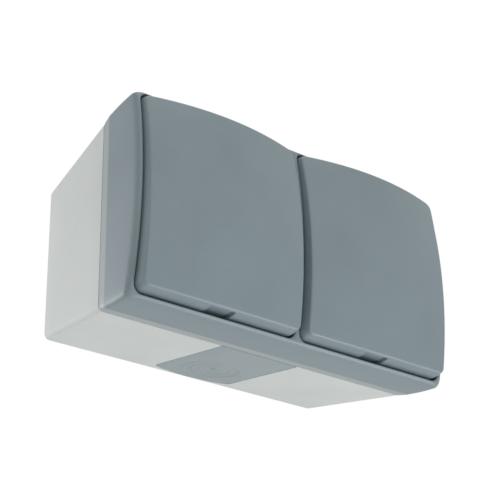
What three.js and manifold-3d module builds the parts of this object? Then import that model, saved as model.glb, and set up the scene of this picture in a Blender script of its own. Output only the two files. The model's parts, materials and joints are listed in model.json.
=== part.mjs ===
// A surface-mounted twin rocker switch, built as separate pieces, in millimetres.
// +Z is up, the wall is the plane y = 0 and the front faces -Y. A depth is the distance out from the wall, so
// y = -depth.
import * as THREE from "three";
import { mergeVertices } from "three/addons/utils/BufferGeometryUtils.js";
import Module from "manifold-3d";

const wasm = await Module();
wasm.setup();
const { Manifold, Mesh } = wasm;

// ---- driving dimensions ----------------------------------------------------------------------------------
const HALF_W = 76; // half the width of the box's rim and of the frame where it meets it
const HALF_H = 40; // half their height
const FLARE = 3.4; // how much the frame's outline and bays grow on each side from there to the front
const DRAFT = 7; // how much the box narrows on each side from its rim to the wall
const BOX_RIM = 49.85; // depth of the box's rim, at the parting line
const BAND = 55.3; // depth at which the frame's outer band ends
const CORNER = 2.6; // radius of the box's upright corners
const WALL = 2.4; // thickness of the box's walls
const GAP = 0.3; // clearance left between pieces that touch
const BAY_X = 36.75; // distance of each bay's centre from the middle
const FRONT_X = BAY_X + FLARE / 2; // the same for its wider front part and for the cap's outline
const DEEP_BAY = { x: 35.95, low: -37.1, high: 38, r: 3.8 }; // the frame's opening below its ledge
const LEDGE = 61.5; // depth of that ledge
const BAY = { x: 37.65, low: -40.5, high: 41.4, r: 3.8 }; // the opening for one rocker cap, above it
const CAP = { x: 37.05, low: -39.4, high: 40.8, r: 3.1, wall: 2, skirt: 64 };
const FLOOR = [53.5, 55.5]; // depths of the frame's inner floor
const DATUM = 4; // the mechanisms' own depths are measured from a plane this far out from the wall
const PIVOT = 60; // depth of the rocker's axis, from that plane
const SWING = 5.6; // degrees between the rocker's two positions
const LEVER_PIVOT = 36.7; // depth of the contact lever's knife edge, from that plane
const LEVER_SWING = 6.4; // degrees the contact lever turns
const MEMBRANE = { x: 18.8, rear: 5, bow: 3.4, round: 2.6, ring: 11.8, centre: 18.5, front: 50.1 };

const GREY_BLUE = 0x86959b, LIGHT_GREY = 0xc8ccca, RUBBER = 0x9ca8ac, WHITE = 0xe6e4dc;
const STEEL = 0xb9bcc0, BRASS = 0xc9a65a, SILVER = 0xd5d6d8, BLACK = 0x2f3234;

// ---- small helpers ---------------------------------------------------------------------------------------
const lerp = (a, b, t) => a + (b - a) * t;
const radians = THREE.MathUtils.degToRad;

function solid(geometry) {
  const bare = geometry.clone();
  bare.deleteAttribute("normal");
  bare.deleteAttribute("uv");
  const g = mergeVertices(bare, 1e-4);
  const vertProperties = new Float32Array(g.attributes.position.array);
  const triVerts = new Uint32Array(g.index.array);
  const made = new Manifold(new Mesh({ numProp: 3, vertProperties, triVerts }));
  if (made.volume() > 0) return made;
  const turned = new Uint32Array(triVerts);
  for (let i = 0; i < turned.length; i += 3) turned.set([triVerts[i + 1], triVerts[i]], i);
  return new Manifold(new Mesh({ numProp: 3, vertProperties, triVerts: turned }));
}

function geometryOf(manifold) {
  const m = manifold.getMesh();
  const g = new THREE.BufferGeometry();
  g.setAttribute("position", new THREE.BufferAttribute(new Float32Array(m.vertProperties), 3));
  g.setIndex(new THREE.BufferAttribute(new Uint32Array(m.triVerts), 1));
  const flat = g.toNonIndexed();
  flat.computeVertexNormals();
  return flat;
}

const place = (made, x = 0, y = 0, z = 0) => made.translate([x, y, z]);
// Turns a solid about an axis along X at mid height and the given depth.
const tilt = (made, degrees, depth) =>
  made.translate([0, depth, 0]).rotate([degrees, 0, 0]).translate([0, -depth, 0]);

// A box between two corners, given as x, depth and z ranges.
function block([x0, x1], [d0, d1], [z0, z1]) {
  const g = new THREE.BoxGeometry(x1 - x0, d1 - d0, z1 - z0);
  return solid(g.translate((x0 + x1) / 2, -(d0 + d1) / 2, (z0 + z1) / 2));
}

// A turned piece about an axis that runs out from the wall through (x, z): rows of [radius, depth].
function turned(profile, x = 0, z = 0, sides = 16) {
  const g = new THREE.LatheGeometry(profile.map(([r, d]) => new THREE.Vector2(r, d)), sides);
  return place(solid(g.rotateX(Math.PI)), x, 0, z);
}

const post = (r, d0, d1, x = 0, z = 0, sides = 16) =>
  turned([[0, d0], [r, d0], [r, d1], [0, d1]], x, z, sides);

// A rounded rectangle seen from the front, as [x, z] points, with extra points `sx` and `sz` along its sides.
function outline({ x, low, high, r, sx = [], sz = [], n = 4 }) {
  const points = [];
  const corner = (cx, cz, from) => {
    for (let i = 0; i <= n; i++) {
      const a = radians(from + (90 * i) / n);
      points.push([cx + r * Math.cos(a), cz + r * Math.sin(a)]);
    }
  };
  const mid = (low + high) / 2, half = (high - low) / 2;
  sx.forEach((t) => points.push([t * (x - r), low]));
  corner(x - r, low + r, -90);
  sz.forEach((t) => points.push([x, mid + t * (half - r)]));
  corner(x - r, high - r, 0);
  sx.forEach((t) => points.push([-t * (x - r), high]));
  corner(-x + r, high - r, 90);
  sz.forEach((t) => points.push([-x, mid - t * (half - r)]));
  corner(-x + r, low + r, 180);
  return points;
}

// A closed body lofted through rings of [x, y, z] points and closed by a fan at each end. The last fan can
// meet at a given point.
function loft(rings, tip) {
  const n = rings[0].length, positions = [], index = [];
  const middle = (ring) => [0, 1, 2].map((k) => ring.reduce((sum, p) => sum + p[k] / n, 0));
  rings.forEach((ring) => ring.forEach((p) => positions.push(...p)));
  for (let k = 0; k + 1 < rings.length; k++)
    for (let i = 0; i < n; i++) {
      const a = k * n + i, b = k * n + ((i + 1) % n);
      index.push(a, b, a + n, b, b + n, a + n);
    }
  [0, rings.length - 1].forEach((k) => {
    const c = positions.length / 3;
    positions.push(...((k && tip) || middle(rings[k])));
    for (let i = 0; i < n; i++) {
      const a = k * n + i, b = k * n + ((i + 1) % n);
      k ? index.push(a, b, c) : index.push(b, a, c);
    }
  });
  const g = new THREE.BufferGeometry();
  g.setAttribute("position", new THREE.BufferAttribute(new Float32Array(positions), 3));
  g.setIndex(index);
  return solid(g);
}

// A straight-sided prism with rounded upright corners between two depths.
const prism = (shape, d0, d1, cx = 0) =>
  loft([d0, d1].map((d) => outline(shape).map(([x, z]) => [x + cx, -d, z])));

const group = new THREE.Group();
function add(name, made, colour) {
  const material = new THREE.MeshStandardMaterial({ color: colour, roughness: 0.6 });
  const mesh = new THREE.Mesh(geometryOf(made), material);
  mesh.name = name;
  group.add(mesh);
}

// ---- the curved front ------------------------------------------------------------------------------------
// Share of the way from the bottom lip to the top edge, and how far a height is from mid height.
const rise = (z) => Math.min(Math.max((z + 40.4) / 81.8, 0), 1);
const bulge = (z) => Math.max(0, 1 - ((z - 0.5) / 41.4) ** 2);
// The arch of each cap: full along its top edge and nothing at its straight bottom lip.
const arch = (x, z) => 6 * Math.max(0, 1 - ((Math.abs(x) - FRONT_X) / FRONT_X) ** 2) * rise(z);
const rimDepth = (x, z) => lerp(72.3, 74.3, rise(z)) + 4.3 * bulge(z);
const capDepth = (x, z) => lerp(76.9, 75, rise(z)) + 4.6 * bulge(z) + arch(x, z);

// ---- back box --------------------------------------------------------------------------------------------
const boxRing = (d, inset, r = CORNER) => {
  const narrow = DRAFT * (1 - Math.max(d, 0) / BOX_RIM) + inset;
  const shape = { x: HALF_W - narrow, low: -HALF_H + narrow, high: HALF_H - narrow, r, n: 5 };
  return outline(shape).map(([x, z]) => [x, -d, z]);
};
const boxOuter = loft([boxRing(0, 0.9, 2), boxRing(0.3, 0.3, 2.4), boxRing(1, 0), boxRing(BOX_RIM, 0)]);
const boxInner = loft([boxRing(2.5, WALL, 1.2), boxRing(BOX_RIM + 1, 3, 1.2)]);
const SLOPE = Math.atan(DRAFT / BOX_RIM);

// A flat shape on the box's sloping underside: its outline grown by `grow`, between two heights inside the
// outer face. Its rear edge is bowed and has rounded corners.
function onUnderside(grow, h0, h1, front) {
  const s = new THREE.Shape();
  const { bow, round } = MEMBRANE, x = MEMBRANE.x + grow, rear = MEMBRANE.rear - grow;
  const end = rear - (2 * bow * round) / x;
  s.moveTo(-x, front);
  s.lineTo(-x, rear + round);
  s.quadraticCurveTo(-x, rear, round - x, end);
  s.quadraticCurveTo(0, rear - 2 * bow + 0.5, x - round, end);
  s.quadraticCurveTo(x, rear, x, rear + round);
  s.lineTo(x, front);
  s.closePath();
  const g = new THREE.ExtrudeGeometry(s, { depth: h1 - h0, bevelEnabled: false, curveSegments: 8 });
  return ontoUnderside(solid(g.translate(0, 0, h0)));
}
// Takes a piece drawn flat, with its second coordinate along the depth, onto the sloping underside.
const ontoUnderside = (made) =>
  made.mirror([0, 1, 0]).rotate([THREE.MathUtils.radToDeg(SLOPE), 0, 0])
    .translate([0, 0, -HALF_H + DRAFT]);

const SCREW_X = 27.3; // where the support plate is screwed down, each side of a bay's centre
const FRAME_SCREW = [68, 32.5];
const corners = [["top_left", -1, 1], ["top_right", 1, 1], ["bottom_left", -1, -1], ["bottom_right", 1, -1]];
const bays = [["left", -BAY_X], ["right", BAY_X]];

let box = boxOuter.subtract(boxInner);
bays.forEach(([, cx]) => [-SCREW_X, SCREW_X].forEach((dx) => {
  box = box.add(post(3.6, 2.2, 47.9, cx + dx, 0)).subtract(post(1.65, 34, 48.5, cx + dx, 0, 12));
}));
corners.forEach(([, sx, sz]) => {
  const [x, z] = [sx * FRAME_SCREW[0], sz * FRAME_SCREW[1]];
  const inside = post(3.1, 2.2, 48, x, z).intersect(boxOuter);
  box = box.add(inside.add(post(3.1, 47, 53.2, x, z))).subtract(post(1.65, 37, 53.5, x, z, 12));
  box = box.subtract(post(2.3, -1, 4, sx * 52, sz * 21, 16));
});
box = box.subtract(onUnderside(GAP, -1, 4.4, 60));
add("back_box", box, LIGHT_GREY);

// ---- cable entry membrane --------------------------------------------------------------------------------
const ringOn = (r, w, h) => {
  const profile = [[r - w, 0.5], [r - w * 0.6, -h], [r + w * 0.6, -h], [r + w, 0.5], [r - w, 0.5]];
  const g = new THREE.LatheGeometry(profile.map(([a, b]) => new THREE.Vector2(a, b)), 40);
  return ontoUnderside(solid(g.rotateX(Math.PI / 2)).translate([0, MEMBRANE.centre, 0]));
};
const flange = onUnderside(1.7, 3.35, 4.5, MEMBRANE.front - 0.7)
  .intersect(block([-30, 30], [3, 54], [-60, 0]));
let membrane = onUnderside(0, 0, 3.9, MEMBRANE.front).add(flange);
[[MEMBRANE.ring, 0.5, 0.3], [8, 0.45, 0.22], [4.4, 0.45, 0.22]].forEach(([r, w, h]) => {
  membrane = membrane.add(ringOn(r, w, h));
});
add("cable_entry_membrane", membrane.intersect(block([-30, 30], [-5, 49.55], [-60, 0])), RUBBER);

// ---- front frame and its gasket --------------------------------------------------------------------------
const along = [3, 10, 20, 30, 37, 44, 54, 64].map((x) => x / 70);
const FRAME_SX = [...along.map((t) => -t).reverse(), ...along];
const FRAME_SZ = [-0.8, -0.55, -0.3, -0.1, 0.1, 0.3, 0.55, 0.8];
const frameRing = (inset, r, depth) =>
  outline({ x: HALF_W - inset, low: -HALF_H + inset, high: HALF_H - inset, r, sx: FRAME_SX, sz: FRAME_SZ })
    .map(([x, z]) => [x, -depth(x, z), z]);
const front = (back) => (x, z) => rimDepth(x, z) - back;
const flatAt = (d) => () => d;

const wall = (t) => (x, z) => lerp(BAND, rimDepth(x, z) - 3, t);

let frame = loft([
  frameRing(0, 1.8, flatAt(50.15)), frameRing(-1, 1.8, flatAt(BAND)), frameRing(-1.65, 1.8, wall(0.45)),
  frameRing(1.1 - FLARE, 2.2, front(3)), frameRing(1.4 - FLARE, 2.9, front(1.5)),
  frameRing(1.9 - FLARE, 3.5, front(0.55)), frameRing(2.6 - FLARE, 3.9, front(0.12)),
  frameRing(3.4 - FLARE, 3.7, front(0)), frameRing(3.4, 3, front(0)),
  frameRing(7, 2, front(0)), frameRing(14, 2, front(0)), frameRing(25, 2, front(0)),
  frameRing(38, 1, front(0)),
], [0, -rimDepth(0, 0), 0]);
const inset = (by, r) => ({ x: HALF_W - by, low: -HALF_H + by, high: HALF_H - by, r });
frame = frame.subtract(prism(inset(1.5, 3), 49, 51.6)).subtract(prism(inset(4, 2), 49, FLOOR[0]));
bays.forEach(([, cx]) => {
  frame = frame.subtract(prism(BAY, LEDGE, 95, Math.sign(cx) * FRONT_X));
  frame = frame.subtract(prism(DEEP_BAY, FLOOR[1], LEDGE + 1, cx));
  frame = frame.subtract(prism({ x: 26, low: -24, high: 24, r: 2 }, 49, 64, cx));
});
corners.forEach(([, sx, sz]) => {
  frame = frame.subtract(post(1.9, 49, 64, sx * FRAME_SCREW[0], sz * FRAME_SCREW[1], 12));
});
add("front_frame", frame, GREY_BLUE);

const gasket = prism(inset(1.8, 2.7), 50.15, 51.3).subtract(prism(inset(3.6, 2), 49, 52));
add("box_gasket", gasket, BLACK);

// ---- rocker caps -----------------------------------------------------------------------------------------
const CAP_SX = [-0.72, -0.42, -0.14, 0.14, 0.42, 0.72];
const CAP_SZ = [-0.72, -0.42, -0.14, 0.14, 0.42, 0.72];
const skirt = (x, z) => CAP.skirt - z * Math.tan(radians(SWING / 2));
const capRing = (cx, by, depth) =>
  outline({ x: CAP.x - by, low: CAP.low + by, high: CAP.high - by, sx: CAP_SX, sz: CAP_SZ, n: 3,
    r: Math.max(CAP.r - by, 0.5) }).map(([x, z]) => [x + cx, -depth(x + cx, z), z]);
const under = (back) => (x, z) => capDepth(x, z) - back;

function rockerCap(bay) {
  const cx = Math.sign(bay) * FRONT_X;
  const outer = loft([
    capRing(cx, 0, skirt), capRing(cx, 0.1, under(2.4)), capRing(cx, 0.3, under(0.8)),
    capRing(cx, 0.65, under(0.25)), capRing(cx, 1.3, under(0)), capRing(cx, 4, under(0)),
    capRing(cx, 9, under(0)), capRing(cx, 18, under(0)), capRing(cx, 28, under(0)),
  ], [cx, -capDepth(cx, 0), 0]);
  const inner = loft([
    capRing(cx, CAP.wall, (x, z) => skirt(x, z) - 3), capRing(cx, CAP.wall, under(4.4)),
    capRing(cx, 3.2, under(2.4)), capRing(cx, 8, under(2)), capRing(cx, 18, under(2)),
    capRing(cx, 28, under(2)),
  ], [cx, 2 - capDepth(cx, 0), 0]);
  let cap = outer.subtract(inner);
  [-12, 12].forEach((x) => [[14, 78.9], [-14, 75.9]].forEach(([z, top]) => {
    cap = cap.add(tilt(post(2.8, 65.8, top, x, z, 12), -SWING / 2, PIVOT).translate([bay, -DATUM, 0]));
    cap = cap.subtract(tilt(post(1.75, 60, 70.5, x, z, 12), -SWING / 2, PIVOT).translate([bay, -DATUM, 0]));
  }));
  return cap.subtract(block([cx - 5.8, cx + 5.8], [54, 75.8], [-42, CAP.low + 1.3]));
}

// ---- mechanism pieces, drawn about a bay's centre and from the datum plane -------------------------------
function carrier() {
  let made = block([-16, 16], [63.5, 65.5], [-20, 20]).add(block([-14.8, 14.8], [57, 63.6], [-4, 4]));
  const pin = new THREE.CylinderGeometry(2, 2, 36.6, 20).rotateZ(Math.PI / 2).translate(0, -PIVOT, 0);
  made = made.add(solid(pin)).add(post(4.2, 45, 58, 0, 0, 20)).subtract(post(2.75, 40, 55.4, 0, 0, 16));
  [-12, 12].forEach((x) => [-14, 14].forEach((z) => (made = made.add(post(1.4, 65, 69.5, x, z, 10)))));
  return tilt(made, -SWING / 2, PIVOT);
}

const plunger = () =>
  tilt(turned([[0, 40], [0.9, 40.25], [1.6, 40.9], [1.9, 41.9], [1.9, 45.4], [2.4, 45.4], [2.4, 46.6],
    [1.1, 46.6], [1.1, 52], [0, 52]], 0, 0, 14), -SWING / 2, PIVOT);

function spring() {
  class Helix extends THREE.Curve {
    getPoint(t) {
      const a = t * Math.PI * 2 * 5;
      return new THREE.Vector3(2.05 * Math.cos(a), lerp(-47.3, -54.7, t), 2.05 * Math.sin(a));
    }
  }
  const wire = new THREE.Shape([0, 1, 2, 3, 4].map((i) => {
    const a = (i * Math.PI * 2) / 5;
    return new THREE.Vector2(0.32 * Math.cos(a), 0.32 * Math.sin(a));
  }));
  const g = new THREE.ExtrudeGeometry(wire, { steps: 65, extrudePath: new Helix(), bevelEnabled: false });
  return tilt(solid(g), -SWING / 2, PIVOT);
}

function contactLever() {
  let made = block([-3.5, 3.5], [38.35, 39.55], [-14, 14]);
  const points = [[-1.2, -38.6], [1.2, -38.6], [0, -LEVER_PIVOT]].map((p) => new THREE.Vector2(...p));
  const edge = new THREE.Shape(points);
  const ridge = new THREE.ExtrudeGeometry(edge, { depth: 7, bevelEnabled: false });
  made = made.add(solid(ridge.translate(0, 0, -3.5).rotateY(Math.PI / 2)));
  [-12.2, 12.2].forEach((z) => (made = made.add(post(1.8, 37.35, 38.6, 0, z, 12))));
  return tilt(made, LEVER_SWING / 2, LEVER_PIVOT);
}

function housing() {
  let made = block([-21.8, 21.8], [24, 46.5], [-19.8, 19.8]);
  made = made.add(block([-24.5, 24.5], [45.5, 46.5], [-22.5, 22.5]));
  made = made.subtract(block([-20, 20], [26, 60], [-18, 18]));
  [-1, 1].forEach((s) => {
    const ear = [Math.min(s * 15.5, s * 18.5), Math.max(s * 15.5, s * 18.5)];
    made = made.add(block(ear, [25.5, 62.6], [-5, 5]));
  });
  const bore = new THREE.CylinderGeometry(2.1, 2.1, 44, 32).rotateZ(Math.PI / 2).translate(0, -PIVOT, 0);
  return made.subtract(solid(bore));
}

function supportPlate() {
  let made = prism({ x: 32, low: -27, high: 27, r: 3 }, 44.2, 45.2);
  made = made.subtract(block([-22.5, 22.5], [44, 46], [-20.5, 20.5]));
  [-SCREW_X, SCREW_X].forEach((x) => (made = made.subtract(post(1.7, 44, 46, x, 0, 12))));
  return made;
}

const splashSeal = () =>
  prism({ x: 29.5, low: -27, high: 27, r: 4 }, 51.8, 53)
    .subtract(prism({ x: 19.6, low: -8, high: 8, r: 2 }, 51, 54));

// A screw with its head to the front, turned about an axis out from the wall; a slot is cut across the head.
function screw(x, z, tip, seat, headR, headH, shankR) {
  const made = turned([[0, tip], [shankR * 0.6, tip], [shankR, tip + 1], [shankR, seat], [headR, seat],
    [headR, seat + headH * 0.6], [headR * 0.7, seat + headH], [0, seat + headH]], x, z, 12);
  const slot = [seat + headH * 0.45, seat + headH + 1];
  return made.subtract(block([x - headR - 1, x + headR + 1], slot, [z - 0.45, z + 0.45]));
}

// A contact strip from its pad to its terminal block, at the upper (1) or lower (-1) end of the lever.
function fixedContact(s) {
  const z = (a, b) => [Math.min(s * a, s * b), Math.max(s * a, s * b)];
  const made = block([-3, 3], [34.6, 36.1], z(10, 14.8)).add(block([2, 13], [34, 35], z(10, 14.8)));
  return made.add(block([8, 14], [26.3, 35.2], z(9.4, 15.4)))
    .subtract(post(1.65, 28.5, 36, 11, s * 12.4, 12));
}

function commonTerminal() {
  const made = block([-9, 3.4], [34.4, 36.4], [-2.6, 2.6]).add(block([-14, -8], [26.3, 35.2], [-3, 3]));
  return made.subtract(post(1.65, 28.5, 37, -11, 0, 12));
}

bays.forEach(([side, cx]) => {
  const put = (name, made, colour) => add(`${name}_${side}`, place(made, cx, -DATUM), colour);
  add(`rocker_cap_${side}`, rockerCap(cx), GREY_BLUE);
  put("rocker_carrier", carrier(), WHITE);
  put("spring_plunger", plunger(), SILVER);
  put("toggle_spring", spring(), STEEL);
  put("contact_lever", contactLever(), BRASS);
  put("mechanism_housing", housing(), WHITE);
  put("support_plate", supportPlate(), STEEL);
  put("splash_seal", splashSeal(), BLACK);
  put("upper_contact", fixedContact(1), BRASS);
  put("lower_contact", fixedContact(-1), BRASS);
  put("common_terminal", commonTerminal(), BRASS);
  put("upper_terminal_screw", screw(11, 12.4, 29, 35.5, 2.3, 1.5, 1.3), SILVER);
  put("lower_terminal_screw", screw(11, -12.4, 29, 35.5, 2.3, 1.5, 1.3), SILVER);
  put("common_terminal_screw", screw(-11, 0, 29, 36.7, 2.3, 1.5, 1.3), SILVER);
  put("plate_screw_outer", screw(Math.sign(cx) * SCREW_X, 0, 31, 45.5, 2.8, 1.7, 1.3), STEEL);
  put("plate_screw_inner", screw(-Math.sign(cx) * SCREW_X, 0, 31, 45.5, 2.8, 1.7, 1.3), STEEL);
});
corners.forEach(([name, sx, sz]) => {
  add(`frame_screw_${name}`, screw(sx * FRAME_SCREW[0], sz * FRAME_SCREW[1], 39, 55.8, 2.6, 1.7, 1.3), STEEL);
});

export default group;
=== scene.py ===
"""Surface-mounted twin rocker switch: its visible shells, their finishes and a plain studio."""

import json
import math

import bmesh
import bpy
from mathutils import Matrix, Vector


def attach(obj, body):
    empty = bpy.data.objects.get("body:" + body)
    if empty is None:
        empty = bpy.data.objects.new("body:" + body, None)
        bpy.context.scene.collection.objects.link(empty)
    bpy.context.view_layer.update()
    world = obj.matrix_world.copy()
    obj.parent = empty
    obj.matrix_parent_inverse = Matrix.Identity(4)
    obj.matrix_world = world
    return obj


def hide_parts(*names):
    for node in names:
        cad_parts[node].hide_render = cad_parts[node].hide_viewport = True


bl_info = {
    "name": "Twin Rocker Switch",
    "version": (1, 0, 0),
    "blender": (4, 5, 0),
    "location": "View3D > Sidebar > Rocker Switch",
    "description": "Models a surface-mounted twin rocker switch and its studio",
    "category": "Object",
}

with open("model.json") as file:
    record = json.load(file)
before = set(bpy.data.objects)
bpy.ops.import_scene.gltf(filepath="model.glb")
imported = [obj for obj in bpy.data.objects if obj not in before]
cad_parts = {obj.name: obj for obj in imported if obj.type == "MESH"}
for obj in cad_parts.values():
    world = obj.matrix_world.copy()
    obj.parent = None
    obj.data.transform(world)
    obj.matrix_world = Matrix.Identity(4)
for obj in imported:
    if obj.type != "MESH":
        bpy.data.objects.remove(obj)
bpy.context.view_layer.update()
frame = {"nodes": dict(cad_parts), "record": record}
MM = 0.001

# Places and depths that the shells share with the mechanism inside, in millimetres.
FLOOR = (53.5, 55.5)  # the back and the front of the frame's inner floor
PLATE_SCREW_X = 27.3  # the mechanism plates' screws, each side of a bay's centre
FRAME_SCREW = (68.0, 32.5)  # the screws that hold the frame, from the middle
WALL_SCREW = (52.0, 21.0)  # the holes for fixing the box to the wall, from the middle
CLIP_X = 12.0  # the caps' clip sleeves, each side of a mechanism's centre
CLIPS = ((14.0, 82.7), (-14.0, 79.7))  # each sleeve's height, and the depth of its end inside the cap
PIVOT = 64.0  # depth of the rocker's axis
HALF_SWING = math.radians(2.8)  # how far a cap at rest is turned from square to the wall

# The curved front, in millimetres: pairs are depths at its bottom and at its top.
FRONT_SPAN = (-40.4, 41.4)  # the heights between which it runs
RIM_DEPTHS, RIM_SWELL = (72.3, 74.3), 4.3
FACE_DEPTHS, FACE_SWELL, FACE_ARCH = (76.87, 74.97), 4.6, 6.0


# ---- settings ----------------------------------------------------------------------------------------


class StageSettings(bpy.types.PropertyGroup):
    """The camera, the lights and the floor."""

    camera_at: bpy.props.FloatVectorProperty(
        name="Camera position", description="Where the camera stands", size=3, subtype="XYZ",
        unit="LENGTH", default=(-0.3441, -0.4700, -0.2562))
    camera_turn: bpy.props.FloatVectorProperty(
        name="Camera direction", description="Heading, tilt above level and roll of the camera", size=3,
        subtype="EULER", unit="ROTATION",
        default=(math.radians(38.98), math.radians(25.84), math.radians(0.96)))
    lens: bpy.props.FloatProperty(
        name="Focal length", description="Focal length on a 36 mm wide sensor, in millimetres",
        default=106.6)
    floor_drop: bpy.props.FloatProperty(
        name="Floor drop", description="How far below the switch the floor lies", default=0.9,
        unit="LENGTH")
    floor_tone: bpy.props.FloatVectorProperty(
        name="Floor colour", description="Colour of the floor", size=3, subtype="COLOR",
        default=(0.86, 0.86, 0.86))
    surround: bpy.props.FloatProperty(
        name="Surround light", description="Strength of the even light from all round", default=0.56)


def length(name, description, default):
    """A size in millimetres that a user can change."""
    return bpy.props.FloatProperty(name=name, description=description + ", in millimetres", default=default)


class ShellSettings(bpy.types.PropertyGroup):
    """Sizes of the box, the frame and the caps."""

    half_width: length("Half width", "Half the width of the box's rim", 76.0)
    half_height: length("Half height", "Half the height of the box's rim", 40.0)
    flare: length("Frame flare", "How much wider the bays' front is than the box on each side", 3.4)
    taper: length("Frame taper", "How much less than that the frame's outside widens", 1.15)
    draft: length("Box draft", "How much the box narrows on each side towards the wall", 7.0)
    box_rim: length("Box rim", "Depth of the box's rim, out from the wall", 49.85)
    box_corner: length("Box corner", "Radius of the box's upright corners", 2.4)
    wall: length("Box wall", "Thickness of the box's walls", 2.4)
    band: length("Band", "Depth at which the frame's outer band ends", 55.3)
    band_out: length("Band widening", "How much the frame has widened on each side there", 0.94)
    bay_centre: length("Bay centre", "Distance of each mechanism's centre from the middle", 36.75)
    front_centre: length("Front centre", "Distance of each cap's centre from the middle", 38.45)
    bay_half: length("Bay half width", "Half the width of the frame's opening for a cap", 37.65)
    bay_low: length("Bay bottom", "How far that opening reaches down from mid height", 40.5)
    bay_high: length("Bay top", "How far that opening reaches up from mid height", 41.4)
    ledge: length("Ledge", "Depth of the ledge where that opening narrows", 61.5)
    deep_half: length("Deep bay half width", "Half the opening's width below the ledge", 35.95)
    deep_low: length("Deep bay bottom", "How far it reaches down there", 37.1)
    deep_high: length("Deep bay top", "How far it reaches up there", 38.0)
    bay_corner: length("Bay corner", "Radius of the opening's corners", 3.8)
    rim_width: length("Rim rounding", "How far the frame's front edge is rounded at the sides", 1.75)
    rim_top: length("Rim rounding at the top", "How far it is rounded along the top, where it is thin", 0.6)
    rim_bottom: length("Rim rounding at the bottom", "How far it is rounded along the bottom", 1.5)
    rim_drop: length("Rim rounding depth", "How far back that rounding reaches", 3.0)
    cap_half: length("Cap half width", "Half the width of a cap", 37.05)
    cap_low: length("Cap bottom", "How far a cap reaches down from mid height", 39.4)
    cap_high: length("Cap top", "How far a cap reaches up from mid height", 40.8)
    cap_corner: length("Cap corner", "Radius of a cap's corners", 3.1)
    lip: length("Lip radius", "Radius of the edge round a cap's face", 0.8)
    lip_slope: length("Lip slope", "How far the side of a cap slopes in below that edge", 0.6)
    notch_half: length("Notch half width", "Half the width of the finger notch", 5.8)
    notch_in: length("Notch depth", "How far the finger notch is cut in", 1.2)


class MembraneSettings(bpy.types.PropertyGroup):
    """Sizes of the cable-entry membrane."""

    half_width: length("Half width", "Half the width of the membrane", 18.8)
    front: length("Front edge", "How far its front edge is from the wall", 50.1)
    rear: length("Rear edge", "How far its rear corners are from the wall", 5.0)
    bow: length("Bow", "How far its rear edge is bowed", 3.4)
    corner: length("Corner", "Size of its rounded rear corners", 2.6)
    centre: length("Ring centre", "How far the rings' centre is from the wall", 18.5)
    gap: length("Gap", "Clearance round it in the box", 0.3)
    relief: bpy.props.FloatProperty(
        name="Relief", description="How strongly its rings stand out", default=1.6)


class FinishSettings(bpy.types.PropertyGroup):
    """Colours of the materials."""

    blue_grey: bpy.props.FloatVectorProperty(
        name="Blue-grey plastic", description="Colour of the frame and caps", size=3, subtype="COLOR",
        default=(0.209, 0.262, 0.287))
    # The outer band's colour is paler than the blue-grey: painted sheen, for the light the band catches
    band: bpy.props.FloatVectorProperty(
        name="Outer band", description="Colour of the frame's smooth outer band", size=3, subtype="COLOR",
        default=(0.322, 0.364, 0.362))
    light_grey: bpy.props.FloatVectorProperty(
        name="Light grey plastic", description="Colour of the back box", size=3, subtype="COLOR",
        default=(0.570, 0.598, 0.582))
    grey_rubber: bpy.props.FloatVectorProperty(
        name="Grey rubber", description="Colour of the cable membrane", size=3, subtype="COLOR",
        default=(0.292, 0.338, 0.352))


# ---- materials ---------------------------------------------------------------------------------------


def node(tree, kind, **values):
    """A new shader node with the given properties."""
    made = tree.nodes.new(kind)
    for key, value in values.items():
        setattr(made, key, value)
    return made


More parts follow.
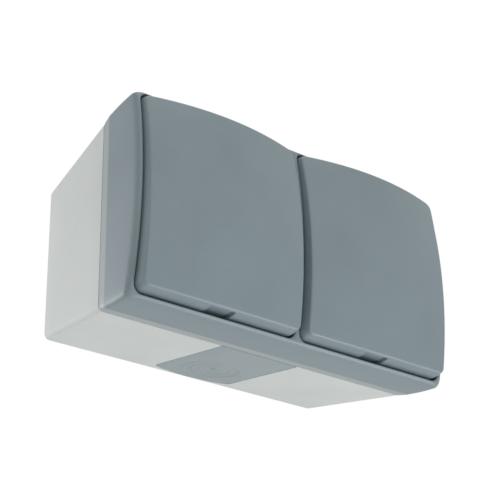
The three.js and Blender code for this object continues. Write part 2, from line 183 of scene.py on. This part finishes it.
def moulded_grain():
    """Fine spark-eroded texture of a mould, with a little unevenness in colour and gloss."""
    name = "moulded_grain"
    if name in bpy.data.node_groups:
        return bpy.data.node_groups[name]
    group = bpy.data.node_groups.new(name, "ShaderNodeTree")
    add = group.interface.new_socket
    add("Vector", in_out="INPUT", socket_type="NodeSocketVector")
    add("Colour", in_out="INPUT", socket_type="NodeSocketColor")
    for label in ("Grain size", "Grain depth", "Mottle", "Roughness", "Roughness spread"):
        add(label, in_out="INPUT", socket_type="NodeSocketFloat")
    add("Colour", in_out="OUTPUT", socket_type="NodeSocketColor")
    add("Roughness", in_out="OUTPUT", socket_type="NodeSocketFloat")
    add("Height", in_out="OUTPUT", socket_type="NodeSocketFloat")
    link = group.links.new
    source = node(group, "NodeGroupInput")
    out = node(group, "NodeGroupOutput")
    fine = node(group, "ShaderNodeTexNoise", noise_dimensions="3D")
    fine.inputs["Detail"].default_value = 2.0
    fine.inputs["Roughness"].default_value = 0.55
    link(source.outputs["Vector"], fine.inputs["Vector"])
    link(source.outputs["Grain size"], fine.inputs["Scale"])
    broad = node(group, "ShaderNodeTexNoise", noise_dimensions="3D")
    broad.inputs["Scale"].default_value = 38.0
    broad.inputs["Detail"].default_value = 3.0
    link(source.outputs["Vector"], broad.inputs["Vector"])
    height = node(group, "ShaderNodeMath", operation="MULTIPLY")
    link(fine.outputs["Fac"], height.inputs[0])
    link(source.outputs["Grain depth"], height.inputs[1])
    link(height.outputs[0], out.inputs["Height"])
    both = node(group, "ShaderNodeMath", operation="MULTIPLY_ADD")
    both.inputs[1].default_value = 0.35
    link(fine.outputs["Fac"], both.inputs[0])
    link(broad.outputs["Fac"], both.inputs[2])
    spread = node(group, "ShaderNodeMapRange")
    for key, value in (("From Min", 0.45), ("From Max", 0.9), ("To Min", -1.0), ("To Max", 1.0)):
        spread.inputs[key].default_value = value
    link(both.outputs[0], spread.inputs["Value"])
    shade = node(group, "ShaderNodeMath", operation="MULTIPLY")
    link(spread.outputs["Result"], shade.inputs[0])
    link(source.outputs["Mottle"], shade.inputs[1])
    one = node(group, "ShaderNodeMath", operation="ADD")
    one.inputs[1].default_value = 1.0
    link(shade.outputs[0], one.inputs[0])
    tint = node(group, "ShaderNodeVectorMath", operation="SCALE")
    link(source.outputs["Colour"], tint.inputs[0])
    link(one.outputs[0], tint.inputs["Scale"])
    link(tint.outputs["Vector"], out.inputs["Colour"])
    gloss = node(group, "ShaderNodeMath", operation="MULTIPLY_ADD")
    link(spread.outputs["Result"], gloss.inputs[0])
    link(source.outputs["Roughness spread"], gloss.inputs[1])
    link(source.outputs["Roughness"], gloss.inputs[2])
    link(gloss.outputs[0], out.inputs["Roughness"])
    return group


def finish(name, colour, grain=900.0, depth=0.1, mottle=0.04, rough=0.5, spread=0.05, bump=0.1, metal=0.0):
    """A material of moulded plastic, rubber or metal, made once under its own name."""
    name += "_surface"
    if name in bpy.data.materials:
        return bpy.data.materials[name]
    material = bpy.data.materials.new(name)
    material.use_nodes = True
    tree = material.node_tree
    shader = tree.nodes["Principled BSDF"]
    shader.inputs["Metallic"].default_value = metal
    place = node(tree, "ShaderNodeTexCoord", name="place")
    grains = node(tree, "ShaderNodeGroup", node_tree=moulded_grain(), name="grain")
    grains.inputs["Colour"].default_value = (*colour, 1.0)
    values = {"Grain size": grain, "Grain depth": depth, "Mottle": mottle, "Roughness": rough,
              "Roughness spread": spread}
    for key, value in values.items():
        grains.inputs[key].default_value = value
    raised = node(tree, "ShaderNodeBump")
    raised.inputs["Strength"].default_value = bump
    raised.inputs["Distance"].default_value = 0.0002
    link = tree.links.new
    link(place.outputs["Object"], grains.inputs["Vector"])
    link(grains.outputs["Colour"], shader.inputs["Base Color"])
    link(grains.outputs["Roughness"], shader.inputs["Roughness"])
    link(grains.outputs["Height"], raised.inputs["Height"])
    link(raised.outputs["Normal"], shader.inputs["Normal"])
    return material


def with_painted_band_sheen(material):
    """Paints the frame's outer band in a paler colour, told by its distance from the wall: painted sheen for
    the light the band catches.
    """
    tree = material.node_tree
    if "band" in tree.nodes:
        return material
    edge = -bpy.context.scene.switch_shell.band * MM
    grains, place, shader = (tree.nodes[key] for key in ("grain", "place", "Principled BSDF"))
    split = node(tree, "ShaderNodeSeparateXYZ")
    # Mask of the outer band, where the paler colour is painted in as sheen
    near = node(tree, "ShaderNodeMapRange", interpolation_type="SMOOTHSTEP")
    for key, value in (("From Min", edge - 0.2 * MM), ("From Max", edge + 0.2 * MM)):
        near.inputs[key].default_value = value
    # Painted sheen: a paler colour on the band in place of the light it catches
    painted_sheen = node(tree, "ShaderNodeMix", data_type="RGBA", blend_type="MIX", name="band")
    painted_sheen.inputs["B"].default_value = (*bpy.context.scene.switch_finishes.band, 1.0)
    link = tree.links.new
    link(place.outputs["Object"], split.inputs[0])
    link(split.outputs["Y"], near.inputs["Value"])
    link(near.outputs["Result"], painted_sheen.inputs["Factor"])
    link(grains.outputs["Colour"], painted_sheen.inputs["A"])
    link(painted_sheen.outputs["Result"], shader.inputs["Base Color"])
    return material


def finishes():
    """Every material by the record's slot name."""
    own = bpy.context.scene.switch_finishes
    return {
        "blue_grey_plastic": with_painted_band_sheen(finish("blue_grey_plastic", own.blue_grey, rough=0.38)),
        "light_grey_plastic": finish("light_grey_plastic", own.light_grey, rough=0.6),
        "grey_rubber": finish("grey_rubber", own.grey_rubber, grain=700.0, rough=0.7),
        "black_rubber": finish("black_rubber", (0.03, 0.03, 0.032), grain=600.0, rough=0.75),
        "white_plastic": finish("white_plastic", (0.78, 0.77, 0.72), rough=0.5),
        "zinc_steel": finish("zinc_steel", (0.62, 0.63, 0.65), grain=400.0, rough=0.35, metal=1.0),
        "contact_brass": finish("contact_brass", (0.72, 0.55, 0.28), grain=400.0, rough=0.35, metal=1.0),
    }


# ---- mesh helpers ------------------------------------------------------------------------------------
# Everything is drawn in millimetres, +Z up with the wall at y = 0. A depth is the distance out from the wall.


def lerp(a, b, t):
    """The value a share t of the way from a to b."""
    return a + (b - a) * t


def rise(z):
    """Share of the way from the bottom lip to the top edge."""
    low, high = FRONT_SPAN
    return min(max((z - low) / (high - low), 0.0), 1.0)


def bulge(z):
    """How far the front swells at a height: one near mid height and nothing at top and bottom."""
    return max(0.0, 1.0 - ((z - 0.5) / FRONT_SPAN[1]) ** 2)


def rim_depth(z):
    """Depth of the frame's front edge."""
    return lerp(*RIM_DEPTHS, rise(z)) + RIM_SWELL * bulge(z)


def cap_depth(x, z, centre):
    """Depth of the caps' domed faces, each arched along its top edge about its own centre."""
    arch = FACE_ARCH * max(0.0, 1.0 - ((abs(x) - centre) / centre) ** 2) * rise(z)
    return lerp(*FACE_DEPTHS, rise(z)) + FACE_SWELL * bulge(z) + arch


def skirt_depth(z):
    """Depth of the end of a cap's skirt."""
    return PIVOT - z * math.tan(HALF_SWING)


def rounded(x0, x1, low, high, r, sx, sz, sharp_right=False, n=8):
    """Points (x, z) of a rounded rectangle seen from the front, with stations sx and sz along its sides.

    Each corner has n steps. The right-hand corners can be left square, for a shape to be mirrored there.
    """
    cx, cz = (x0 + x1) / 2, (low + high) / 2
    hx, hz = (x1 - x0) / 2 - r, (high - low) / 2 - r
    points = []

    def corner(kx, kz, start, sharp):
        for i in range(n + 1):
            a = math.radians(start + 90.0 * i / n)
            c, s = math.cos(a), math.sin(a)
            reach = r / max(abs(c), abs(s)) if sharp else r
            points.append((cx + kx * hx + reach * c, cz + kz * hz + reach * s))

    points += [(cx + t * hx, low) for t in sx]
    corner(1, -1, -90, sharp_right)
    points += [(x1, cz + t * hz) for t in sz]
    corner(1, 1, 0, sharp_right)
    points += [(cx - t * hx, high) for t in sx]
    corner(-1, 1, 90, False)
    points += [(x0, cz - t * hz) for t in sz]
    corner(-1, -1, 180, False)
    return points


def stations(count):
    """Evenly spread places between -1 and 1, without the ends."""
    return [2.0 * (i + 1) / (count + 1) - 1.0 for i in range(count)]


def arc(steps):
    """Pairs (in, back) of a quarter round, from the side of an edge to its front."""
    turns = [math.pi / 2 * i / steps for i in range(steps + 1)]
    return [(1.0 - math.cos(a), 1.0 - math.sin(a)) for a in turns]


class Loft:
    """A surface made loop after loop, each extruded from the one before."""

    def __init__(self, bm, points):
        self.bm = bm
        self.verts = [bm.verts.new(p) for p in points]
        self.edges = [bm.edges.new(pair) for pair in zip(self.verts, self.verts[1:] + self.verts[:1])]
        self.first = list(self.edges)

    def grow(self, points):
        """Extrudes the newest loop to a further one, point by point."""
        made = bmesh.ops.extrude_edge_only(self.bm, edges=self.edges)["geom"]
        fresh = {v for v in made if isinstance(v, bmesh.types.BMVert)}
        moved = []
        for vert, point in zip(self.verts, points, strict=True):
            copy = next(e.other_vert(vert) for e in vert.link_edges if e.other_vert(vert) in fresh)
            copy.co = point
            moved.append(copy)
        self.edges = [e for e in made if isinstance(e, bmesh.types.BMEdge) and fresh.issuperset(e.verts)]
        self.verts = moved

    def cap(self, edges, tip=None):
        """Closes a loop with a fan, its middle set to a given point."""
        faces = bmesh.ops.contextual_create(self.bm, geom=edges)["faces"]
        middle = bmesh.ops.poke(self.bm, faces=faces)["verts"][0]
        if tip:
            middle.co = tip


def loft(bm, loops, start=None, end=None):
    """A closed body through loops of points, fanned to the points start and end."""
    made = Loft(bm, loops[0])
    for points in loops[1:]:
        made.grow(points)
    made.cap(made.first, start)
    made.cap(made.edges, end)


def tube(bm, x, z, levels, sides=32):
    """A turned solid about an axis out from the wall through (x, z), from rows of (radius, depth)."""
    around = [(math.cos(2 * math.pi * i / sides), math.sin(2 * math.pi * i / sides)) for i in range(sides)]
    loft(bm, [[(x + r * c, -d, z + r * s) for c, s in around] for r, d in levels])


def whole(bm):
    """Joins a drawing's seams, turns its faces outwards and brings it to metres."""
    bmesh.ops.remove_doubles(bm, verts=bm.verts, dist=0.0004)
    bmesh.ops.recalc_face_normals(bm, faces=bm.faces)
    bmesh.ops.scale(bm, verts=bm.verts, vec=(MM, MM, MM))
    mesh = bpy.data.meshes.new("drawing")
    bm.to_mesh(mesh)
    bm.free()
    return mesh


def combined(mesh, tools):
    """A mesh joined or cut with others, given as pairs of an operation and a mesh or drawing."""
    body = bpy.data.objects.new("body", mesh)
    bpy.context.scene.collection.objects.link(body)
    others = []
    for operation, drawing in tools:
        shape = drawing if isinstance(drawing, bpy.types.Mesh) else whole(drawing)
        other = bpy.data.objects.new("tool", shape)
        bpy.context.scene.collection.objects.link(other)
        others.append(other)
        modifier = body.modifiers.new(operation, "BOOLEAN")
        modifier.operation = operation
        modifier.solver = "EXACT"
        modifier.object = other
    seen = body.evaluated_get(bpy.context.evaluated_depsgraph_get())
    made = bpy.data.meshes.new_from_object(seen)
    for each in (body, *others):
        bpy.data.objects.remove(each)
    return made


def publish(mesh, name, cad_node, body, slot, sharp=38.0):
    """Makes an object of a mesh in place of a CAD node."""
    mesh.name = name
    mesh.shade_smooth()
    mesh.set_sharp_from_angle(angle=math.radians(sharp))
    mesh.materials.clear()
    mesh.materials.append(finishes()[slot])
    made = bpy.data.objects.new(name, mesh)
    bpy.context.scene.collection.objects.link(made)
    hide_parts(cad_node)
    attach(made, body)
    return made


def plug(seal):
    """The membrane's outline at a growth and a height inside the box's sloping underside, as a function."""

    def at(own, grow, height, front, clear=None):
        x, rear, r = seal.half_width + grow, seal.rear - grow, seal.corner
        end = rear - 2.0 * seal.bow * r / x

        def curve(a, b, c, steps):
            return [tuple((1 - t) ** 2 * p + 2 * t * (1 - t) * q + t * t * w for p, q, w in zip(a, b, c))
                    for t in (i / steps for i in range(steps))]

        side = [(-x, lerp(front, rear + r, i / 14)) for i in range(14)]
        left = curve((-x, rear + r), (-x, rear), (r - x, end), 8)
        bowed = curve((r - x, end), (0.0, rear - 2.0 * seal.bow + 0.5), (x - r, end), 24)
        right = [(-a, b) for a, b in reversed(left)]
        back = [(-a, b) for a, b in reversed(side)]
        across = [(x - 2.0 * x * i / 14, front) for i in range(1, 14)]
        flat = side + left + bowed + [(x - r, end)] + right + back + across
        if clear is not None:
            flat = [(a, max(b, clear)) for a, b in flat]
        return [on_underside(own, a, b, height) for a, b in flat]

    return at


def on_underside(own, x, along, height):
    """A point given along the box's sloping underside, at a height inside its outer face."""
    slope = math.atan(own.draft / own.box_rim)
    return (x, -along * math.cos(slope) - height * math.sin(slope),
            -own.half_height + own.draft - along * math.sin(slope) + height * math.cos(slope))


# ---- operators ---------------------------------------------------------------------------------------


class SWITCH_OT_box(bpy.types.Operator):
    """Back box with its posts, fixing holes and the slot for the cable membrane"""

    bl_idname = "switch.back_box"
    bl_label = "Build the back box"

    def execute(self, context):
        own = context.scene.switch_shell
        sx, sz = stations(12), stations(8)

        def ring(depth, inset, r):
            n = own.draft * (1.0 - max(depth, 0.0) / own.box_rim) + inset
            shape = rounded(n - own.half_width, own.half_width - n, n - own.half_height, own.half_height - n,
                            r, sx, sz)
            return [(x, -depth, z) for x, z in shape]

        r, rim = own.box_corner, own.box_rim
        loops = [ring(0.0, 1.1, r - 0.7), ring(0.06, 0.7, r - 0.5), ring(0.28, 0.28, r - 0.2)]
        loops += [ring(0.6, 0.08, r), ring(1.0, 0.0, r)]
        loops += [ring(rim * t, 0.0, r) for t in (0.2, 0.4, 0.6, 0.8)]
        loops += [ring(rim - 0.35, 0.0, r), ring(rim - 0.1, 0.06, r), ring(rim, 0.25, r - 0.2)]
        loops += [ring(rim, own.wall + 0.4, 1.3), ring(rim - 0.2, own.wall + 0.6, 1.2)]
        loops += [ring(rim * t, own.wall, 1.2) for t in (0.6, 0.3)]
        loops += [ring(3.3, own.wall, 1.2), ring(2.7, own.wall + 0.2, 1.2), ring(2.5, own.wall + 0.8, 1.2)]
        bm = bmesh.new()
        loft(bm, loops)
        posts, holes, slot = bmesh.new(), bmesh.new(), bmesh.new()
        for kx in (-1, 1):
            for dx in (-PLATE_SCREW_X, PLATE_SCREW_X):
                x = kx * own.bay_centre + dx
                tube(posts, x, 0.0, [(3.9, 1.6), (3.6, 3.5), (3.6, 47.6), (3.3, 47.9)])
                tube(holes, x, 0.0, [(1.5, 34.0), (1.65, 34.3), (1.65, 48.5)])
            for kz in (-1, 1):
                x, z = kx * FRAME_SCREW[0], kz * FRAME_SCREW[1]
                tube(posts, x, z, [(3.1, 1.6), (3.1, 52.9), (2.8, 53.2)])
                tube(holes, x, z, [(1.65, 37.0), (1.65, 53.8)])
                tube(holes, kx * WALL_SCREW[0], kz * WALL_SCREW[1], [(2.3, -1.0), (2.3, 4.0)])
        corner_fill = bmesh.new()
        loft(corner_fill, [ring(1.2, 0.3, r), ring(rim - 1.0, 0.3, r), ring(53.9, 0.5, r)])
        sheet = plug(context.scene.switch_membrane)
        loft(slot, [sheet(own, context.scene.switch_membrane.gap, h, 60.0) for h in (-2.0, 4.4)])
        inside = combined(whole(posts), [("INTERSECT", corner_fill)])
        body = combined(whole(bm), [("UNION", inside), ("DIFFERENCE", holes), ("DIFFERENCE", slot)])
        publish(body, "back_box_shell", "back_box", "housing", "light_grey_plastic")
        return {"FINISHED"}


class SWITCH_OT_membrane(bpy.types.Operator):
    """Rubber cable-entry membrane with its rings and centre dimple"""

    bl_idname = "switch.membrane"
    bl_label = "Build the cable membrane"

    # The section from its outer ring to its centre dimple: radius, and height inside the outer face.
    section = (
        (16.0, 0.0), (13.2, 0.0), (12.5, -0.02), (12.15, -0.16), (11.8, -0.2), (11.4, -0.16), (11.05, 0.06),
        (10.6, 0.1), (9.3, 0.1), (8.75, 0.07), (8.45, -0.06), (8.1, -0.1), (7.75, -0.06), (7.4, 0.1),
        (7.0, 0.13), (5.9, 0.13), (5.35, 0.1), (5.05, -0.02), (4.75, -0.05), (4.4, -0.02), (4.1, 0.12),
        (3.6, 0.14), (2.5, 0.15), (2.05, 0.2), (1.6, 0.42), (1.1, 0.6), (0.6, 0.66),
    )
    dimple = 0.68

    def execute(self, context):
        own, seal = context.scene.switch_shell, context.scene.switch_membrane
        sheet = plug(seal)
        slope = math.atan(own.draft / own.box_rim)
        edge = sheet(own, -0.4, 0.0, seal.front - 0.3)
        middle = on_underside(own, 0.0, seal.centre, 0.0)
        turns = [math.atan2((-p[1] + middle[1]) / math.cos(slope), p[0]) for p in edge]
        loops = [sheet(own, 1.5, h, seal.front - 0.7, 3.1) for h in (4.4, 3.5)]
        loops += [sheet(own, 0.0, 3.3, seal.front), sheet(own, 0.0, 1.8, seal.front),
                  sheet(own, 0.0, 0.4, seal.front), sheet(own, -0.1, 0.12, seal.front), edge]
        for r, h in self.section:
            loops.append([on_underside(own, r * math.cos(a), seal.centre + r * math.sin(a), seal.relief * h)
                          for a in turns])
        bm = bmesh.new()
        loft(bm, loops, end=on_underside(own, 0.0, seal.centre, seal.relief * self.dimple))
        name = "cable_entry_membrane"
        publish(whole(bm), name + "_shell", name, "housing", "grey_rubber", sharp=50.0)
        return {"FINISHED"}


class SWITCH_OT_frame(bpy.types.Operator):
    """Front frame: one half drawn round its bay, then mirrored"""

    bl_idname = "switch.front_frame"
    bl_label = "Build the front frame"

    def execute(self, context):
        own = context.scene.switch_shell
        sx, sz = stations(26), stations(26)

        def outer(inset, r, depth, below=0.0, above=0.0):
            shape = rounded(inset - own.half_width, 0.0, inset - own.half_height - below,
                            own.half_height - inset + above, r, sx, sz, sharp_right=True)
            return [(x, -depth(z), z) for x, z in shape]

        def bay(grow, r, depth):
            x, half = own.front_centre, own.bay_half + grow
            shape = rounded(-x - half, -x + half, -own.bay_low - grow, own.bay_high + grow, r, sx, sz)
            return [(a, -depth(b), b) for a, b in shape]

        def inner(half, low, high, r, depth):
            x = own.bay_centre
            return [(a, -depth, b) for a, b in rounded(-x - half, -x + half, -low, high, r, sx, sz)]

        def flat(depth):
            return lambda z: depth

        def front(back):
            return lambda z: rim_depth(z) - back

        band, drop, r = own.band, own.rim_drop, own.bay_corner
        rim, side, wide = own.box_rim + 0.3, own.taper - own.flare, -own.band_out
        first = outer(0.12, 1.9, flat(rim))
        loops = [first, outer(0.0, 1.8, flat(rim + 0.15))]
        loops += [outer(-t, 1.8, flat(lerp(rim, band, t))) for t in (0.3, 0.6, 0.9)]
        loops += [outer(wide, 1.8, flat(band - 0.2)), outer(wide, 1.8, flat(band)),
                  outer(wide - 0.02, 1.75, flat(band + 0.25))]
        for t in (0.0, 0.2, 0.4, 0.6, 0.8, 1.0):
            loops.append(outer(lerp(wide - 0.08, side, t) - 0.14 * math.sin(math.pi * t), lerp(1.8, 2.3, t),
                               lambda z, t=t: lerp(band + 0.8, rim_depth(z) - drop, t)))
        for across, back in arc(8)[1:]:
            loops.append(outer(side + own.rim_width * across, lerp(2.3, 4.0, across), front(drop * back),
                               below=(own.rim_width - own.rim_bottom) * across,
                               above=(own.rim_width - own.rim_top) * across))
        loops += [bay(0.2, r + 0.2, front(0.03)), bay(0.06, r + 0.1, front(0.12)), bay(0.0, r, front(0.35))]
        for t in (0.3, 0.7, 1.0):
            loops.append(bay(0.0, r, lambda z, t=t: lerp(rim_depth(z) - 0.35, own.ledge, t)))
        loops += [inner(own.deep_half, own.deep_low, own.deep_high, r, depth)
                  for depth in (own.ledge, 58.5, FLOOR[1])]
        loops += [inner(26.0, 24.0, 24.0, 2.0, depth) for depth in reversed(FLOOR)]
        loops += [outer(4.0, 2.0, flat(FLOOR[0])), outer(4.0, 2.0, flat(51.6)), outer(1.5, 3.0, flat(51.6)),
                  outer(1.5, 3.0, flat(rim)), first]
        bm = bmesh.new()
        made = Loft(bm, loops[0])
        for points in loops[1:]:
            made.grow(points)
        bmesh.ops.remove_doubles(bm, verts=bm.verts, dist=0.0004)
        seam = [f for f in bm.faces if all(abs(v.co.x) < 1e-4 for v in f.verts)]
        bmesh.ops.delete(bm, geom=seam, context="FACES")
        bmesh.ops.mirror(bm, geom=bm.verts[:] + bm.edges[:] + bm.faces[:], axis="X", merge_dist=0.001)
        holes = bmesh.new()
        for kx in (-1, 1):
            for kz in (-1, 1):
                tube(holes, kx * FRAME_SCREW[0], kz * FRAME_SCREW[1], [(1.9, 52.0), (1.9, 57.0)])
        body = combined(whole(bm), [("DIFFERENCE", holes)])
        publish(body, "front_frame_shell", "front_frame", "housing", "blue_grey_plastic")
        return {"FINISHED"}


class SWITCH_OT_caps(bpy.types.Operator):
    """The two domed caps, each a thin shell with a finger notch and the sleeves of its clips"""

    bl_idname = "switch.rocker_caps"
    bl_label = "Build the caps"

    def execute(self, context):
        own = context.scene.switch_shell
        for side, way in (("left", -1.0), ("right", 1.0)):
            bm = bmesh.new()
            self.shell(bm, own, way * own.front_centre)
            for dx in (-CLIP_X, CLIP_X):
                for z, top in CLIPS:
                    self.sleeve(bm, way * own.bay_centre + dx, z, top)
            name = "rocker_cap_" + side
            publish(whole(bm), name + "_shell", name, "rocker_" + side, "blue_grey_plastic")
        return {"FINISHED"}

    def shell(self, bm, own, centre):
        """The cap itself: its hollow inside, its skirt, its side with the notch, its edge and its face."""
        straight = own.cap_half - own.cap_corner
        edges = [own.notch_half / straight, (own.notch_half - 0.35) / straight]
        places = [t for t in stations(27) if all(abs(abs(t) - e) > 0.03 for e in edges)]
        sx = sorted(places + edges + [-e for e in edges])
        sz = stations(27)
        slope_from = 5.0

        def ring(inset, depth, notched=False):
            half, r = own.cap_half - inset, max(own.cap_corner - inset, 0.6)
            shape = rounded(centre - half, centre + half, inset - own.cap_low, own.cap_high - inset,
                            r, sx, sz)
            loop = []
            for x, z in shape:
                d = depth(x, z)
                if notched and abs(x - centre) < own.notch_half - 0.2 and z < -30.0:
                    z += own.notch_in
                loop.append((x, -d, z))
            return loop

        def under(back):
            return lambda x, z: cap_depth(x, z, own.front_centre) - back

        def skirt(up):
            return lambda x, z: skirt_depth(z) + up

        def between(t):
            return lambda x, z: lerp(skirt_depth(z) + 0.25, cap_depth(x, z, own.front_centre) - slope_from, t)

        loops = [ring(inset, under(2.0)) for inset in (29.0, 24.0, 18.0, 12.0, 8.0, 5.0)]
        loops += [ring(3.6, under(2.4)), ring(2.9, under(3.2)), ring(2.5, under(4.4)), ring(2.0, skirt(0.2))]
        loops += [ring(1.8, skirt(0.0)), ring(0.25, skirt(0.0), True), ring(0.0, skirt(0.25), True)]
        loops += [ring(0.0, between(k / 3), True) for k in range(1, 4)]
        for t in (0.2, 0.4, 0.6, 0.8, 0.93, 0.95):
            loops.append(ring(own.lip_slope * t ** 2, under(lerp(slope_from, own.lip, t)), notched=t < 0.94))
        for across, back in arc(5):
            loops.append(ring(own.lip_slope + own.lip * across, under(own.lip * back)))
        loops += [ring(inset, under(0.0)) for inset in
                  (1.7, 2.4, 3.6, 5.2, 7.2, 9.6, 12.4, 15.6, 19.0, 22.6, 26.2, 29.6, 32.4)]
        z = (own.cap_high - own.cap_low) / 2
        top = cap_depth(centre, z, own.front_centre)
        loft(bm, loops, start=(centre, 2.0 - top, z), end=(centre, -top, z))

    def sleeve(self, bm, x, z, top):
        """A sleeve for one of the carrier's pins, square to the carrier."""
        before = set(bm.verts)
        tube(bm, x, z, [(1.75, 74.5), (1.75, 70.0), (1.95, 69.8), (2.6, 69.8), (2.8, 70.0), (2.8, top)])
        bmesh.ops.rotate(bm, verts=[v for v in bm.verts if v not in before], cent=(0, -PIVOT, 0),
                         matrix=Matrix.Rotation(-HALF_SWING, 3, "X"))


class SWITCH_OT_hidden_parts(bpy.types.Operator):
    """Give every carried-over part its finish"""

    bl_idname = "switch.hidden_parts"
    bl_label = "Finish the CAD parts"

    def execute(self, context):
        ready = finishes()
        for entry in frame["record"]["subparts"]:
            part = frame["nodes"][entry["node"]]
            part.data.materials.clear()
            part.data.materials.append(ready[entry["material_slot"]])
        return {"FINISHED"}


class SWITCH_OT_stage(bpy.types.Operator):
    """Set the camera, the floor and the soft studio light"""

    bl_idname = "switch.stage"
    bl_label = "Build the studio"

    def execute(self, context):
        own = context.scene.switch_stage
        scene = context.scene
        scene.view_settings.view_transform = "Standard"
        heading, tilt, roll = own.camera_turn
        level_reach = math.cos(tilt)
        forward = Vector((math.sin(heading) * level_reach, math.cos(heading) * level_reach, math.sin(tilt)))
        level = forward.cross(Vector((0, 0, 1))).normalized()
        right = Matrix.Rotation(roll, 3, forward) @ level
        up = right.cross(forward)
        turn = Matrix((right, up, -forward)).transposed()
        data = bpy.data.cameras.new("camera")
        data.sensor_width = 36.0
        data.lens = own.lens
        camera = bpy.data.objects.new("camera", data)
        camera.matrix_world = Matrix.Translation(own.camera_at) @ turn.to_4x4()
        scene.collection.objects.link(camera)
        scene.camera = camera
        self.floor(own)
        self.lights()
        self.world(own)
        return {"FINISHED"}

    def floor(self, own):
        """A pale floor far below, out of the camera's sight, that sends some light back up."""
        bm = bmesh.new()
        bmesh.ops.create_grid(bm, x_segments=1, y_segments=1, size=4.0)
        bmesh.ops.translate(bm, verts=bm.verts, vec=(0, 0, -own.floor_drop))
        mesh = bpy.data.meshes.new("studio_floor")
        bm.to_mesh(mesh)
        bm.free()
        floor = bpy.data.objects.new("studio_floor", mesh)
        bpy.context.scene.collection.objects.link(floor)
        mesh.materials.append(finish("studio_floor_paint", own.floor_tone, grain=60.0, rough=0.8, bump=0.0))
        floor.visible_camera = False

    def lights(self):
        """Soft boxes, each given by its name, its place, its size in metres and its power in watts."""
        for name, spot, size, power in (
            ("left_rear_softbox", (-0.65, 1.0, 0.0), 0.9, 7.6),
            ("low_right_softbox", (0.58, -0.4, -0.8), 0.45, 3.6),
            ("low_front_softbox", (0.64, -0.85, -0.55), 0.3, 2.4),
            ("high_left_softbox", (-0.47, -1.02, 0.46), 0.3, 1.5),
            ("top_softbox", (0.2, -0.4, 1.4), 1.0, 4.5),
        ):
            data = bpy.data.lights.new(name, "AREA")
            data.energy = power
            data.size = size
            light = bpy.data.objects.new(name, data)
            aim = (Vector((0, -0.03, 0)) - Vector(spot)).to_track_quat("-Z", "Y")
            light.matrix_world = Matrix.Translation(spot) @ aim.to_matrix().to_4x4()
            light.visible_camera = False
            bpy.context.scene.collection.objects.link(light)

    def world(self, own):
        """An even light from all round, with a plain white backdrop behind it."""
        world = bpy.data.worlds.new("studio")
        bpy.context.scene.world = world
        world.use_nodes = True
        tree = world.node_tree
        tree.nodes.clear()
        seen = node(tree, "ShaderNodeBackground")
        seen.inputs["Strength"].default_value = 1.0
        seen.inputs["Color"].default_value = (1, 1, 1, 1)
        lit = node(tree, "ShaderNodeBackground")
        lit.inputs["Strength"].default_value = own.surround
        lit.inputs["Color"].default_value = (1, 1, 1, 1)
        path = node(tree, "ShaderNodeLightPath")
        mix = node(tree, "ShaderNodeMixShader")
        out = node(tree, "ShaderNodeOutputWorld")
        tree.links.new(path.outputs["Is Camera Ray"], mix.inputs["Fac"])
        tree.links.new(lit.outputs[0], mix.inputs[1])
        tree.links.new(seen.outputs[0], mix.inputs[2])
        tree.links.new(mix.outputs[0], out.inputs["Surface"])


class SWITCH_PT_panel(bpy.types.Panel):
    """Sidebar panel for the twin rocker switch"""

    bl_label = "Rocker Switch"
    bl_space_type = "VIEW_3D"
    bl_region_type = "UI"
    bl_category = "Rocker Switch"

    def draw(self, context):
        for step in STEPS:
            self.layout.operator(step.bl_idname)


SETTINGS = {
    "switch_stage": StageSettings,
    "switch_shell": ShellSettings,
    "switch_membrane": MembraneSettings,
    "switch_finishes": FinishSettings,
}
STEPS = (
    SWITCH_OT_stage,
    SWITCH_OT_hidden_parts,
    SWITCH_OT_box,
    SWITCH_OT_membrane,
    SWITCH_OT_frame,
    SWITCH_OT_caps,
)
CLASSES = (*SETTINGS.values(), *STEPS, SWITCH_PT_panel)


def register():
    for each in CLASSES:
        bpy.utils.register_class(each)
    for name, group in SETTINGS.items():
        setattr(bpy.types.Scene, name, bpy.props.PointerProperty(type=group))


def unregister():
    for name in SETTINGS:
        delattr(bpy.types.Scene, name)
    for each in reversed(CLASSES):
        bpy.utils.unregister_class(each)


def main():
    register()
    for step in STEPS:
        area, verb = step.bl_idname.split(".")
        getattr(getattr(bpy.ops, area), verb)()


if __name__ == "__main__":
    main()
